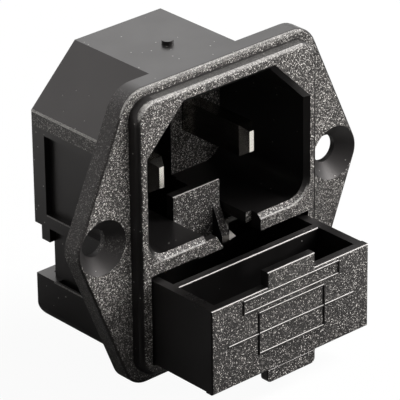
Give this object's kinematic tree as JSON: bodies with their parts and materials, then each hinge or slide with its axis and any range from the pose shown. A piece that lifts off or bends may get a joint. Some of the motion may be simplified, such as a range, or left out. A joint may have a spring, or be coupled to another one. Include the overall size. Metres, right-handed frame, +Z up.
{
  "type": "power entry module with fuse drawer",
  "caption": "Black panel-mounted two-pole mains inlet with a lozenge screw flange and a pull-out fuse drawer below the recess",
  "frame": {"origin": "panel face behind the flange, midway between the two screw holes", "axes": "front of the module looks along -Y, the drawer pulls out along -Y, +Z is up with the inlet above the drawer"},
  "size_m": [0.0434, 0.0357, 0.0375],
  "materials": {
    "housing_plastic": "glass-filled nylon, spark-eroded front, smooth sides",
    "drawer_plastic": "glass-filled nylon, spark-eroded front plate",
    "nickel_blade": "nickel-plated brass, bright",
    "contact_strip": "tin-plated brass strip",
    "fuse_glass": "clear glass",
    "fuse_cap": "nickel-plated brass",
    "fuse_wire": "drawn wire"
  },
  "bodies": {
    "housing": {"housing": "housing_plastic", "line_blade": "nickel_blade", "neutral_blade": "nickel_blade", "feed_terminal": "contact_strip", "line_link": "contact_strip"},
    "drawer": {"fuse_drawer": "drawer_plastic", "fuse_tube": "fuse_glass", "fuse_cap_left": "fuse_cap", "fuse_cap_right": "fuse_cap", "fuse_element": "fuse_wire"}
  },
  "joints": [
    {"name": "drawer_slide", "type": "slide", "parent": "housing", "child": "drawer", "axis": [0, 1, 0], "range_m": [-0.0033, 0.009]}
  ]
}
